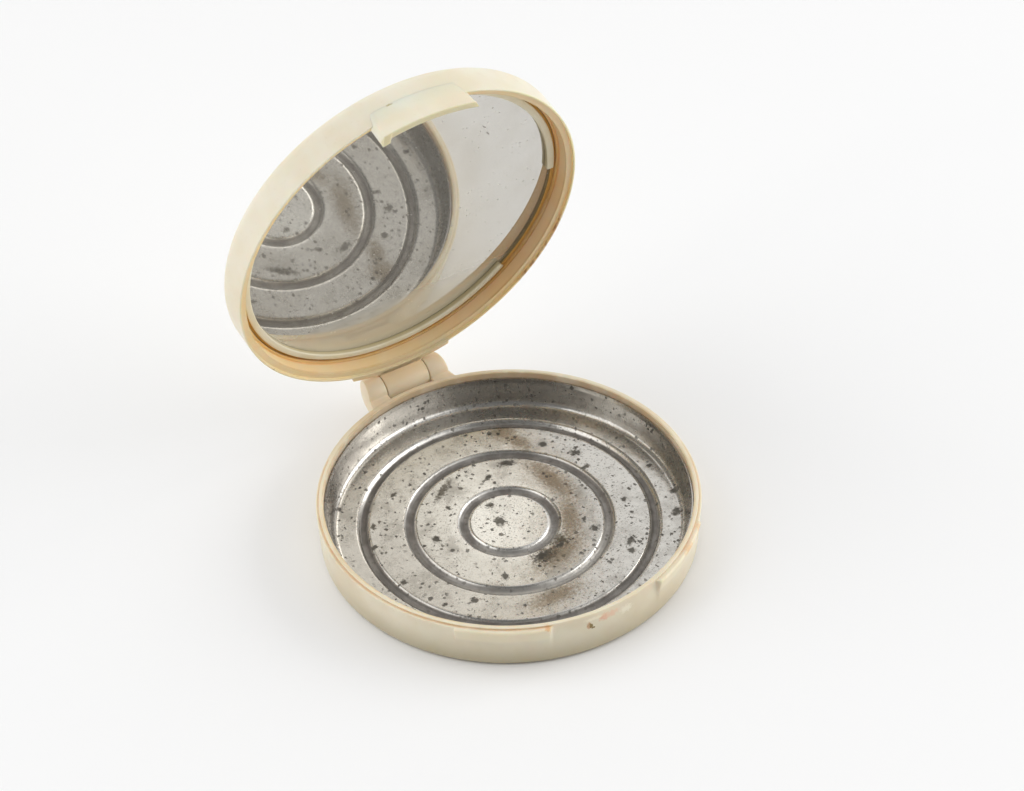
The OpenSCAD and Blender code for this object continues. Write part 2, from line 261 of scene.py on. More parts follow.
def base_stains_and_painted_light(tree, at):
    """Rusty dirt along the foot of the raised rim, tan inside it and on the knuckles; painted shade on the
    wall toward its foot, most at the front, and a painted highlight on the finger ledges.
    """
    patchy = blotch(tree, at.point, 5, 0.25, 0.6)
    faint = put(tree, RANGE, {0: patchy, 3: 0.05, 4: 0.55})
    on_ledge = band(tree, at.z, BASE_H - 0.12, BASE_H + 0.2, 0.15)
    in_corner = band(tree, at.radius, RIM_R - 0.05, RIM_R + 0.2, 0.3)
    stretch = either(tree, band(tree, at.arc, -90.0, -12.6, 1.5),
                     overlap(tree, band(tree, at.arc, 23.0, 52.0, 5.0), 0.6))
    line = overlap(tree, on_ledge, in_corner, stretch, faint)
    # Painted shade: the wall is painted darker toward its foot, most of all at the front
    foot = put(tree, RANGE, {0: at.z, 1: 7.5, 2: 0.0, 4: 0.65}, interpolation_type="SMOOTHSTEP")
    front = band(tree, at.arc, -45.0, 2.0, 22.0)
    foot = overlap(tree, foot, put(tree, RANGE, {0: front, 3: 0.45}))
    # The finger ledges, which stand out from the leaning wall, carry a painted highlight: they are painted
    # paler
    lean = (CASE_R - FOOT_R) / (BASE_H - BASE_ROUND)
    upright_r = FOOT_R - lean * BASE_ROUND
    proud = put(tree, MATH, {0: at.z, 1: -lean, 2: at.radius}, operation="MULTIPLY_ADD")
    strip = put(tree, RANGE, {0: proud, 1: upright_r + 0.06, 2: upright_r + 0.18, 4: 0.6})
    away = put(tree, MATH, {0: at.arc}, operation="ABSOLUTE")
    off_relief = put(tree, RANGE, {0: away, 1: 13.0, 2: 18.0})
    dish_edge = band(tree, at.radius, DISH_R - 1.0, DISH_R + 0.2, 0.25)
    inside = overlap(tree, dish_edge, patchy, off_relief, 0.6)
    near = put(tree, RANGE, {0: at.y, 1: 32.0, 2: 36.0, 4: 0.6})
    handled = overlap(tree, put(tree, RANGE, {0: at.y, 1: 37.2, 2: 38.4}),
                      put(tree, RANGE, {0: patchy, 3: 0.5, 4: 0.9}))
    return [(foot, "#a39672"), (strip, "#f0e4c6"), (near, "#e8ceac"), (handled, "#ebdabc"),
            (inside, "#cdb184"), (line, "#dab585")]


def lid_stains_and_painted_shade(tree, at):
    """Tan staining inside the closing rim and by the hinge, with dirt in its corners, and painted shade on
    the thumb tab's foot.
    """
    # The colours run along the section, from the lip inward and up to the ring
    shake = put(tree, NOISE, {"Vector": at.point, "Scale": 1.1, "Detail": 4.0})
    inward = put(tree, MATH, {0: CASE_R, 1: at.radius}, operation="SUBTRACT")
    upward = put(tree, MATH, {0: at.z, 1: LID_Z}, operation="SUBTRACT")
    along = put(tree, MATH, {0: inward, 1: upward}, operation="ADD")
    along = put(tree, MATH, {0: shake, 1: 0.16, 2: along}, operation="MULTIPLY_ADD")
    share = put(tree, MATH, {0: along, 1: 6.08}, operation="DIVIDE")
    section = ramp(put(tree, "ShaderNodeValToRGB", {0: share}, out=None),
                   (0.05, "#e9dfb8"), (0.11, "#dcc08a"), (0.17, "#eed8a8"), (0.36, "#f0d6a4"),
                   (0.42, "#dcb67c"), (0.50, "#f2d49c"), (0.848, "#f0d29c"), (0.862, "#c0924e"),
                   (0.885, "#e0b068"))
    inside = put(tree, RANGE, {0: at.radius, 1: 37.35, 2: 37.1}, interpolation_type="SMOOTHSTEP")
    off_tab = put(tree, MATH, {0: upward, 1: -0.02}, operation="GREATER_THAN")
    inside = overlap(tree, inside, put(tree, RANGE, {0: upward, 1: 6.0, 2: 5.0}), off_tab)
    uneven = put(tree, RANGE, {0: blotch(tree, at.point, 7, 0.3, 0.7), 3: 0.75})
    # The lip is tan and spotted round the hinge side, and dirt lies along its edge on the right
    side = put(tree, MATH, {0: at.arc}, operation="ABSOLUTE")
    side = put(tree, RANGE, {0: side, 1: 64.0, 2: 76.0})
    face = overlap(tree, band(tree, at.z, LID_Z - 0.1, LID_Z + 0.12, 0.1),
                   put(tree, MATH, {0: at.radius, 1: 37.0}, operation="GREATER_THAN"))
    lip = overlap(tree, face, side, 0.85)
    spots = overlap(tree, face, side, blotch(tree, at.point, 1.6, 0.6, 0.75), 0.6)
    crumbs = put(tree, RANGE, {0: blotch(tree, at.point, 1.6, 0.35, 0.65), 3: 0.15, 4: 0.8})
    dirt = overlap(tree, band(tree, at.z, LID_Z - 0.1, LID_Z + 0.4, 0.2),
                   band(tree, at.arc, 72.0, 86.0, 3.0), band(tree, at.radius, 37.05, 37.7, 0.1), crumbs)
    rear = overlap(tree, put(tree, RANGE, {0: at.y, 1: 35.6, 2: 36.6, 4: 0.85}),
                   put(tree, RANGE, {0: at.y, 1: 40.4, 2: 38.6, 3: 0.35}),
                   put(tree, RANGE, {0: at.z, 1: 12.9, 2: 12.2}))
    # Orange dirt fills the corner round the ring, but for the right side; the lip over it is olive
    stretch = either(tree, band(tree, at.arc, 26.0, 62.0, 6.0), band(tree, at.arc, -100.0, -62.0, 9.0))
    rust = overlap(tree, stretch, band(tree, along, 4.95, 5.75, 0.2), inside, 0.75)
    olive = overlap(tree, face, band(tree, at.arc, 24.0, 66.0, 6.0), 0.6)
    # Painted shade: the foot face of the thumb tab is painted darker
    tab_foot_shade = put(tree, RANGE, {0: at.z, 1: TAB_FOOT_Z + 0.5, 2: TAB_FOOT_Z + 0.1, 4: 0.7})
    return [(overlap(tree, inside, uneven), section), (lip, "#f0d9b0"), (rear, "#efd3a8"),
            (spots, "#b08a58"), (rust, "#efc27c"), (olive, "#e6d9a8"), (dirt, "#866640"),
            (tab_foot_shade, "#d3cba0")]


def tinplate(name):
    """Pressed tinplate: bright, peppered with tarnish, with old powder and painted shade dulling its
    channels, painted shade on its wall and left side, and a painted sheen at its centre.
    """
    material, tree, shader = new_surface(name)
    at = places(tree)
    wobble = put(tree, NOISE, {"Vector": at.point, "Scale": 2.2, "Detail": 4.0}, out=1)
    wobble = put(tree, VECTOR_MATH, {0: wobble, "Scale": 0.9}, operation="SCALE")
    ragged = fraying(tree, at.point, 1.5, 1.6, 5.0, 0.65)
    # Specks down to a third of a millimetre; the metal's own are finer and would not show.
    # The small ones crowd together in places
    crowd = either(tree, blotch(tree, at.point, 7, 0.42, 0.6),
                   patches(tree, at.flat, PAN_PEPPER, ragged, 0.6))
    middle = specks(tree, at.point, 2.6, 0.6, 31.0, wobble)
    small, fine, grain = (
        overlap(tree, mask, put(tree, RANGE, {0: crowd, 3: least})) for mask, least in (
            (specks(tree, at.point, 1.4, 0.45, 53.0, wobble), 0.5),
            (specks(tree, at.point, 0.8, 0.42, 77.0, wobble), 0.7),
            (blotch(tree, at.point, 0.4, 0.54, 0.7, 2.0, 0.6), 0.35)))
    blobs = patches(tree, at.flat, PAN_BLOBS, ragged, 0.4)
    film = patches(tree, at.flat, PAN_FILM, ragged, 0.7)
    soot = patches(tree, at.flat, PAN_SOOT, ragged, 0.6)
    dull = blotch(tree, at.point, 5, 0.4, 0.75, 6.0, 0.7)
    # Painted sheen: the middle of the floor is painted brighter
    bright = put(tree, RANGE, {0: at.radius, 1: 13.0, 2: 9.0, 4: 0.8}, interpolation_type="SMOOTHSTEP")
    # Painted shade: the left side is painted darker, and the wall on that side darker still
    left = put(tree, RANGE, {0: at.x, 1: -8.0, 2: -26.0, 4: 0.45}, interpolation_type="SMOOTHSTEP")
    # The dish of each channel, where powder and grime stay and shade is painted in, and the wall above the
    # floor
    top_z = PAN_FLAT_Z + TIN_T / 2
    grime_and_shade = put(tree, RANGE, {0: at.z, 1: top_z - 0.14, 2: top_z - 0.48},
                interpolation_type="SMOOTHSTEP")
    outer = put(tree, RANGE, {0: at.radius, 1: 29.0, 2: 29.3, 3: 1.0, 4: 0.0})
    uneven = put(tree, RANGE, {0: blotch(tree, at.point, 3, 0.3, 0.7), 3: 0.75})
    # The grime and painted shade of the two inner channels fade toward the front
    fainter_to_front = either(tree, put(tree, RANGE, {0: at.y, 1: -20.0, 2: -2.0, 3: 0.5}),
                     put(tree, RANGE, {0: at.radius, 1: 24.0, 2: 26.0}))
    grime_and_shade = overlap(tree, grime_and_shade, outer, fainter_to_front, uneven)
    # Painted shade: the wall above the floor is painted darker
    wall = put(tree, RANGE, {0: at.z, 1: top_z + 0.3, 2: top_z + 1.5, 4: 0.6})
    colour = painted(tree, "#dcd9d2", [
        (overlap(tree, dull, 0.8), "#aeaaa3"), (bright, "#f0eee8"), (left, "#a8a39c"),
        (wall, "#b3afa9"), (overlap(tree, wall, left, 2.6), "#6a6560"),
        (overlap(tree, film, 0.75), "#8a7a62"), (overlap(tree, grain, 0.7), "#85817a"),
        (overlap(tree, soot, 0.9), "#5d574d"), (overlap(tree, middle, 0.7), "#5f5b54"),
        (overlap(tree, small, 0.75), "#5c5851"), (overlap(tree, fine, 0.8), "#54504a"),
        (overlap(tree, blobs, 0.85), "#5e5a52"), (grime_and_shade, "#78736e")])
    pits = either(tree, blobs, middle)
    gloss = put(tree, RANGE, {0: dull, 3: 0.22, 4: 0.34})
    coated = either(tree, pits, fine, grime_and_shade)
    gloss = put(tree, MATH, {0: coated, 1: 0.32, 2: gloss}, operation="MULTIPLY_ADD")
    metal = put(tree, RANGE, {0: grime_and_shade, 3: 1.0, 4: 0.45})
    # Rolling has left it slightly uneven, and the larger marks are pitted
    ripple = put(tree, NOISE, {"Vector": at.point, "Scale": 0.3, "Detail": 3.0})
    height = put(tree, MATH, {0: pits, 1: -0.12, 2: ripple}, operation="MULTIPLY_ADD")
    bump = put(tree, "ShaderNodeBump", {"Height": height, "Strength": 0.3, "Distance": 0.0003})
    feed(tree, shader, Base_Color=colour, Roughness=gloss, Metallic=metal, Normal=bump)
    return material


def silvered_glass(name):
    """Old silvered glass: a clear image under a pale bloom, dust, a few scratches, a brown edge, fog with a
    painted reflection toward the hinge, and painted shade on the edge's step.
    """
    material, tree, shader = new_surface(name, Metallic=1.0, Roughness=0.03)
    at = places(tree, True)
    bloom = blotch(tree, at.point, 9, 0.35, 0.75)
    feed(tree, shader, Base_Color=painted(tree, "#e6e4df", [(bloom, "#dedbd4")]))
    still = put(tree, JOIN)
    dust = overlap(tree, specks(tree, at.point, 0.8, 0.22, 13.0, still),
                   blotch(tree, at.point, 6, 0.35, 0.6), 0.75)
    stretched = put(tree, MAPPING, {
        "Vector": at.point, "Scale": (0.06, 1.0, 1.0), "Rotation": (0, 0, 0.6)})
    hairs = put(tree, NOISE, {"Vector": stretched, "Scale": 2.4, "Detail": 3.0})
    hairs = overlap(tree, band(tree, hairs, 0.498, 0.502, 0.006), 0.2)
    veil = put(tree, RANGE, {0: blotch(tree, at.point, 12, 0.25, 0.75, 1.0), 3: 0.19, 4: 0.23})
    ragged = fraying(tree, at.point, 4.0, 1.0, 3.0)
    nicks = overlap(tree, patches(tree, at.flat, GLASS_NICKS, ragged, 0.5), 0.75)
    edge = put(tree, MATH, {0: at.radius, 1: GROUND_R - 0.02}, operation="GREATER_THAN")
    # Fog and a painted reflection: toward the hinge the silver is overlaid with matt beige, like the cream
    # ring's side seen in it
    fog_and_reflection = put(tree, RANGE, {0: at.y, 1: 15.0, 2: 30.0, 4: 0.65}, interpolation_type="SMOOTHSTEP")
    # Painted shade: the step down to the ground edge is painted dark olive
    side = put(tree, RANGE, {0: at.z, 1: GROUND_Z + 0.02, 2: GROUND_Z + 0.1})
    ground = painted(tree, "#e0ae62", [(side, "#9a8762")])
    paint = painted(tree, "#cdc9c0", [(nicks, "#6d6860"), (fog_and_reflection, "#ecdfbe"), (edge, ground)])
    matt = put(tree, "ShaderNodeBsdfDiffuse", {"Color": paint})
    film = either(tree, nicks, dust, hairs, veil, fog_and_reflection, edge)
    both = put(tree, "ShaderNodeMixShader", {0: film, 1: shader.outputs[0], 2: matt})
    tree.links.new(both, tree.nodes["Material Output"].inputs["Surface"])
    return material


def celluloid_strip(name):
    """Pale celluloid strip bent to a ring: smooth, hardly yellowed, with painted shade deepening to brown
    down its side.
    """
    material, tree, shader = new_surface(name, Roughness=0.35)
    at = places(tree, True)
    cloud = blotch(tree, at.point, 5, 0.3, 0.7)
    # Painted shade: the ring's side darkens from its face back to the silver
    depth = put(tree, RANGE, {0: at.z, 1: RING_Z, 2: SILVER_Z})
    grime_and_shade = ramp(put(tree, "ShaderNodeValToRGB", {0: depth}, out=None),
                 (0.12, "#efe6cc"), (0.4, "#cdbf98"), (0.8, "#c4b58c"), (1.0, "#8a7f60"))
    under = put(tree, RANGE, {0: depth, 1: 0.08, 2: 0.25}, interpolation_type="SMOOTHSTEP")
    colour = painted(tree, "#f3ebd2", [(cloud, "#eee2c0"), (under, grime_and_shade)])
    bump = put(tree, "ShaderNodeBump", {"Height": cloud, "Strength": 0.3, "Distance": 0.0001})
    feed(tree, shader, Base_Color=colour, Normal=bump)
    return material


def plain_stock(name, pale, deep, size, **constants):
    """A plain material in two close shades, in clouds of the given size."""
    material, tree, shader = new_surface(name, **constants)
    cloud = blotch(tree, places(tree).point, size, 0.3, 0.7, 5.0)
    bump = put(tree, "ShaderNodeBump", {"Height": cloud, "Strength": 0.3, "Distance": 0.0001})
    feed(tree, shader, Base_Color=painted(tree, pale, [(cloud, deep)]), Normal=bump)
    return material


# Shapes

def evenly(start, stop, count):
    """Numbers evenly from start to stop, both included."""
    return [start + (stop - start) * i / (count - 1) for i in range(count)]


def spread(start, stop, count):
    """Points evenly from start to stop, both included."""
    return list(zip(*(evenly(a, b, count) for a, b in zip(start, stop))))


def eased(share):
    """A share from 0 to 1 that starts and stops gently."""
    return share * share * (3 - 2 * share)


def arc_points(centre, radius, start, stop, count):
    """Points on an arc in a section, from start to stop in degrees."""
    return [(centre[0] + radius * math.cos(math.radians(a)), centre[1] + radius * math.sin(math.radians(a)))
            for a in evenly(start, stop, count)]


def round_point(radius, azimuth, height):
    """The point at a radius, azimuth in degrees from the front, and height."""
    angle = math.radians(azimuth)
    return Vector((radius * math.sin(angle), -radius * math.cos(angle), height))


def add_object(name, data):
    """A new object in the scene."""
    thing = bpy.data.objects.new(name, data)
    bpy.context.scene.collection.objects.link(thing)
    return thing


def settle(piece, sharp=SHARP):
    """Turns a piece's modifiers into its own mesh, shaded smooth but for its sharp edges."""
    bpy.context.view_layer.update()
    seen = piece.evaluated_get(bpy.context.evaluated_depsgraph_get())
    piece.data = bpy.data.meshes.new_from_object(seen)
    piece.modifiers.clear()
    piece.data.shade_smooth()
    piece.data.set_sharp_from_angle(angle=math.radians(sharp))


def finish_piece(name, mesh, body, material, turn=None, bevel=0.0):
    """Welds and scales a mesh drawn in millimetres, makes it a piece of the body, rounds its edges."""
    bmesh.ops.remove_doubles(mesh, verts=mesh.verts, dist=WELD)
    bmesh.ops.dissolve_degenerate(mesh, edges=mesh.edges, dist=SLIVER)
    bmesh.ops.recalc_face_normals(mesh, faces=mesh.faces)
    mesh.transform(Matrix.Scale(MM, 4) @ (turn or Matrix.Identity(4)))
    data = bpy.data.meshes.new(name)
    mesh.to_mesh(data)
    mesh.free()
    data.materials.append(material)
    piece = add_object(name, data)
    if bevel:
        edge = piece.modifiers.new("edges", "BEVEL")
        edge.width, edge.segments = bevel * MM, 3
        edge.limit_method, edge.angle_limit = "ANGLE", math.radians(40)
    settle(piece)
    piece.data.name = name
    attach(piece, body)
    return piece


def skin(columns, ring=False, capped=False):
    """Quads over columns of points; ring joins the last to the first, capped closes both ends."""
    mesh = bmesh.new()
    rows = [[mesh.verts.new(p) for p in column] for column in columns]
    for left, right in zip(rows, rows[1:] + (rows[:1] if ring else [])):
        for i in range(len(left) - 1):
            mesh.faces.new((left[i], left[i + 1], right[i + 1], right[i]))
        if capped:
            mesh.faces.new((left[-1], left[0], right[0], right[-1]))
    if capped:
        mesh.faces.new(rows[0])
        mesh.faces.new(list(reversed(rows[-1])))
    return mesh


def turned(section, count):
    """A section turned all the way round the axis."""
    return skin([[round_point(r, azimuth, z) for r, z in section]
                 for azimuth in evenly(0.0, 360 - 360 / count, count)], ring=True)


def wall_r(height):
    """Radius of the base's leaning wall at a height."""
    return FOOT_R + (CASE_R - FOOT_R) * (height - BASE_ROUND) / (BASE_H - BASE_ROUND)


# The three sections of the base's wall, which blend point by point, share their lowest part

def low_wall(mid_r):
    """The wall from its rounded foot to the foot of a finger ledge, where it has the radius given."""
    step, mid = (wall_r(RELIEF_FOOT_Z), RELIEF_FOOT_Z), (mid_r, FINGER_FOOT_Z)
    return spread((FOOT_R, BASE_ROUND), step, 5) + spread(step, mid, 4)


def wall_section():
    """The base's plain wall, from its rounded foot to the raised rim."""
    mid_r = wall_r(FINGER_FOOT_Z)
    return (low_wall(mid_r) + spread((mid_r, FINGER_FOOT_Z), (CASE_R, BASE_H - EDGE), 7)
            + arc_points((CASE_R - EDGE, BASE_H - EDGE), EDGE, 0, 90, 7)
            + spread((CASE_R - 2 * EDGE, BASE_H), (RIM_R, BASE_H), 4))


def finger_section():
    """The wall where a finger ledge stands out from it."""
    mid_r, lip_z = wall_r(FINGER_FOOT_Z), BASE_H - FINGER_OUT
    return (low_wall(mid_r) + spread((mid_r, FINGER_FOOT_Z), (CASE_R + FINGER_OUT, lip_z), 7)
            + arc_points((CASE_R, lip_z), FINGER_OUT, 0, 90, 7)
            + spread((CASE_R - 0.2, BASE_H), (RIM_R, BASE_H), 4))


def relief_section():
    """The wall where the finger relief takes it back to the raised rim, running out into it below."""
    fall = (BASE_H - FINGER_FOOT_Z) / (BASE_H - RELIEF_FOOT_Z)
    mid_r, top = RIM_R + (RELIEF_FOOT_R - RIM_R) * fall, (RIM_R + 0.01, BASE_H - EDGE)
    return (low_wall(mid_r) + spread((mid_r, FINGER_FOOT_Z), top, 7) + spread(top, (RIM_R, BASE_H), 7)
            + [(RIM_R, BASE_H)] * 4)


def base_casing():
    """The moulded base: wall, ledge, raised rim, finger relief and dish in one skin."""
    foot_r = FOOT_R - BASE_ROUND
    below = [(0, 0), (foot_r, 0)] + arc_points((foot_r, BASE_ROUND), BASE_ROUND, -90, 0, 8)[1:-1]
    above = (arc_points((RIM_R - EDGE, RIM_TOP - EDGE), EDGE, 0, 90, 5)
             + arc_points((DISH_R + EDGE, RIM_TOP - EDGE), EDGE, 90, 180, 5)
             + [(DISH_R, BASE_FLOOR), (0, BASE_FLOOR)])
    wall, finger, relief = wall_section(), finger_section(), relief_section()
    relief_end = math.degrees(math.asin(RELIEF_HALF / CASE_R))

    def column(azimuth, outer, plane=None):
        """The section at an azimuth; given a plane, its outer part lies that far to +X instead."""
        points = []
        for radius, height in below + outer + above:
            flat = plane is not None and radius > DISH_R
            turn = math.degrees(math.asin(plane / radius)) if flat else azimuth
            points.append(round_point(radius, turn, height))
        return points

    def mixed(one, other, share):
        return [tuple(a + (b - a) * eased(share) for a, b in zip(p, q)) for p, q in zip(one, other)]

    stations = []
    for azimuth in evenly(-180.0, 178.5, 240):
        away = abs(azimuth)
        if abs(away - relief_end) > RELIEF_CLEAR and abs(away - FINGER_END) > FINGER_CLEAR:
            outer = relief if away < relief_end else finger if away < FINGER_END else wall
            stations.append((azimuth, column(azimuth, outer)))
    for way in (-1, 1):
        for share in evenly(0, 1, 9):
            plane = way * (RELIEF_HALF + (share - 0.5) * RELIEF_BLEND)
            azimuth = math.degrees(math.asin(plane / CASE_R))
            stations.append((azimuth, column(azimuth, mixed(relief, finger, share), plane)))
            azimuth = way * (FINGER_END + (share - 0.5) * FINGER_BLEND)
            stations.append((azimuth, column(azimuth, mixed(finger, wall, share))))
    stations.sort(key=lambda station: station[0])
    return skin([points for _, points in stations], ring=True)


def lid_casing():
    """The moulded lid, shut: closing rebate, bore, mirror well and rounded top in one turned skin."""
    top = (CASE_R - LID_ROUND, LID_TOP_Z - LID_ROUND)
    section = [(0, CEILING_Z), (WELL_R, CEILING_Z)]
    # Each inner edge and corner: its arc's centre, radius, start, stop and count
    for arc in (((WELL_R + EDGE_EASE, RING_Z + EDGE_EASE), EDGE_EASE, 180, 270, 4),
                ((BORE_R - EDGE_EASE, RING_Z - EDGE_EASE), EDGE_EASE, 90, 0, 4),
                ((BORE_R + STEP_EASE, REBATE_Z + STEP_EASE), STEP_EASE, 180, 270, 4),
                ((REBATE_R - CORNER_EASE, REBATE_Z - CORNER_EASE), CORNER_EASE, 90, 0, 3),
                ((REBATE_R + EDGE_EASE, LID_Z + EDGE_EASE), EDGE_EASE, 180, 270, 4),
                ((CASE_R - EDGE, LID_Z + EDGE), EDGE, -90, 0, 5)):
        section += arc_points(*arc)
    section += [(CASE_R, top[1])] + arc_points(top, LID_ROUND, 0, 90, 14)[1:] + [(0, LID_TOP_Z)]
    return turned(section, 240)


def thumb_tab():
    """The tab that hangs from the shut lid: a swell out of its wall, with a lug at the left end of its foot.

    Its end faces are upright along their inner edge and lean in along their outer one.
    """
    heights = evenly(TAB_TOP_Z, LID_Z, 5) + evenly(LID_Z, TAB_FOOT_Z, 6)[1:]
    steps = len(heights)
    lug_from = (TAB_HALF - TAB_LUG) / TAB_HALF
    # Columns from an end to the middle, as shares of the half width, two of them at the lug's side
    shares = [1.0, 0.9, lug_from + 0.012, lug_from - 0.012] + evenly(0.78, 0.0, 16)
    columns = []
    for share in [-s for s in shares] + shares[-2::-1]:
        lug = share < -lug_from
        column = []
        for z in heights:
            lean = (TAB_FOOT_R - TAB_IN_R) * max(0.0, LID_Z - z) / (LID_Z - TAB_LUG_Z)
            hangs = lug and z == heights[-1]
            low = TAB_LUG_Z if hangs else z
            radius = TAB_FOOT_R if hangs else TAB_IN_R + lean
            column.append((radius, TAB_HALF - TAB_IN_LEAN * (low - TAB_LUG_Z), low))
        for z in reversed(heights):
            rise = (z - TAB_FOOT_Z) / (TAB_TOP_Z - TAB_FOOT_Z)
            radius = TAB_FOOT_R + TAB_T + (TAB_TOP_R - TAB_FOOT_R - TAB_T) * rise
            # The foot's outer edge is a little higher than its inner one
            high = z + EDGE if z == heights[-1] else z
            column.append((radius, TAB_OUT_HALF - TAB_OUT_LEAN * (z - TAB_FOOT_Z), high))
        columns.append([round_point(r, share * math.degrees(math.asin(x / r)), z) for r, x, z in column])
    mesh = bmesh.new()
    rows = [[mesh.verts.new(p) for p in column] for column in columns]
    for left, right in zip(rows, rows[1:]):
        for i in range(2 * steps):
            j = (i + 1) % (2 * steps)
            mesh.faces.new((left[i], left[j], right[j], right[i]))
    for row in (rows[0], rows[-1]):
        for i in range(steps - 1):
            mesh.faces.new((row[i], row[i + 1], row[2 * steps - 2 - i], row[2 * steps - 1 - i]))
    return mesh


def hinge_land():
    """The arc of thicker wall that carries the lid's knuckle."""
    section = [(LAND_IN_R, LID_Z), (LAND_IN_R, LAND_Z), (LAND_R, LAND_Z), (LAND_R, LID_Z)]
    return skin([[Vector((x, math.sqrt(r * r - x ** 2), z)) for r, z in section]
                 for x in evenly(-LAND_HALF, LAND_HALF, 25)], capped=True)


def base_knuckle(way):
    """A base knuckle: its outer end flares toward the rim, its root follows the casing's wall."""
    start = 180 - math.degrees(math.asin((ROOT_Z - HINGE_Z) / KNUCKLE_R))
    barrel = arc_points((HINGE_Y, HINGE_Z), KNUCKLE_R, start, -90, 40)
    columns = []
    for x, flare, root in ((SIDE_IN, 0.0, ROOT_IN), (SIDE_OUT, math.tan(math.radians(FLARE)), ROOT_OUT)):
        points = [(DISH_R - root, HINGE_Z - KNUCKLE_R), (DISH_R - root, ROOT_Z)] + barrel
        columns.append([Vector((way * (x + flare * (HINGE_Y - y)), y, z)) for y, z in points])
    return skin(columns, capped=True)


def lid_knuckle():
    """The middle knuckle, a barrel that runs into the land on the lid's wall."""
    stop = -180 - math.degrees(math.asin((LID_Z - HINGE_Z) / KNUCKLE_R))
    outline = ([(MIDDLE_ROOT_Y, LID_Z), (MIDDLE_ROOT_Y, LAND_Z), (LAND_R, LAND_Z)]
               + arc_points((HINGE_Y, HINGE_Z), KNUCKLE_R, 90, stop, 40))
    return skin([[Vector((x, y, z)) for y, z in outline] for x in (-MIDDLE_HALF, MIDDLE_HALF)], capped=True)


def bored(piece):
    """Bores the pin's hole through a knuckle, but not through the left one's closed end."""
    start, stop = PIN_CAP - SIDE_OUT, SIDE_OUT + 2
    middle = HINGE + Vector(((start + stop) / 2, 0, 0))
    drill = bmesh.new()
    bmesh.ops.create_cone(drill, cap_ends=True, segments=48, radius1=BORE_HOLE_R * MM,
                          radius2=BORE_HOLE_R * MM, depth=(stop - start) * MM)
    drill.transform(Matrix.Translation(middle * MM) @ Matrix.Rotation(math.pi / 2, 4, "Y"))
    data = bpy.data.meshes.new("drill")
    drill.to_mesh(data)
    drill.free()
    tool = add_object("drill", data)
    cut = piece.modifiers.new("bore", "BOOLEAN")
    cut.object, cut.operation, cut.solver = tool, "DIFFERENCE", "EXACT"
    settle(piece)
    bpy.data.objects.remove(tool)


def silvering():
    """The mirror's silver, as deep as it seems to lie behind the clear glass, and its ground edge."""
    back = CARD_Z - 0.02
    return turned([(0, SILVER_Z), (GROUND_R, SILVER_Z), (GROUND_R, GROUND_Z), (GLASS_R, GROUND_Z),
                   (GLASS_R, back), (0, back)], 144)


def mirror_ring():
    """The split ring over the mirror's edge, with rounded face edges."""
    foot_z, edge_z = SILVER_Z - 0.01, RING_Z + RING_EDGE
    columns = []
    for azimuth in evenly(RING_START + 90, RING_STOP + 90, 200):
        share = min(1, max(0, (RING_FULL_AT - azimuth) / (RING_FULL_AT - RING_NARROW_AT)))
        inner = RING_IN_R + RING_NARROWING * eased(share)
        section = ([(inner, foot_z)] + arc_points((inner + RING_EDGE, edge_z), RING_EDGE, 180, 270, 4)
                   + arc_points((RING_OUT_R - RING_EDGE, edge_z), RING_EDGE, -90, 0, 4)
                   + [(RING_OUT_R, foot_z)])
        columns.append([round_point(r, azimuth, z) for r, z in section])
    return skin(columns, capped=True)


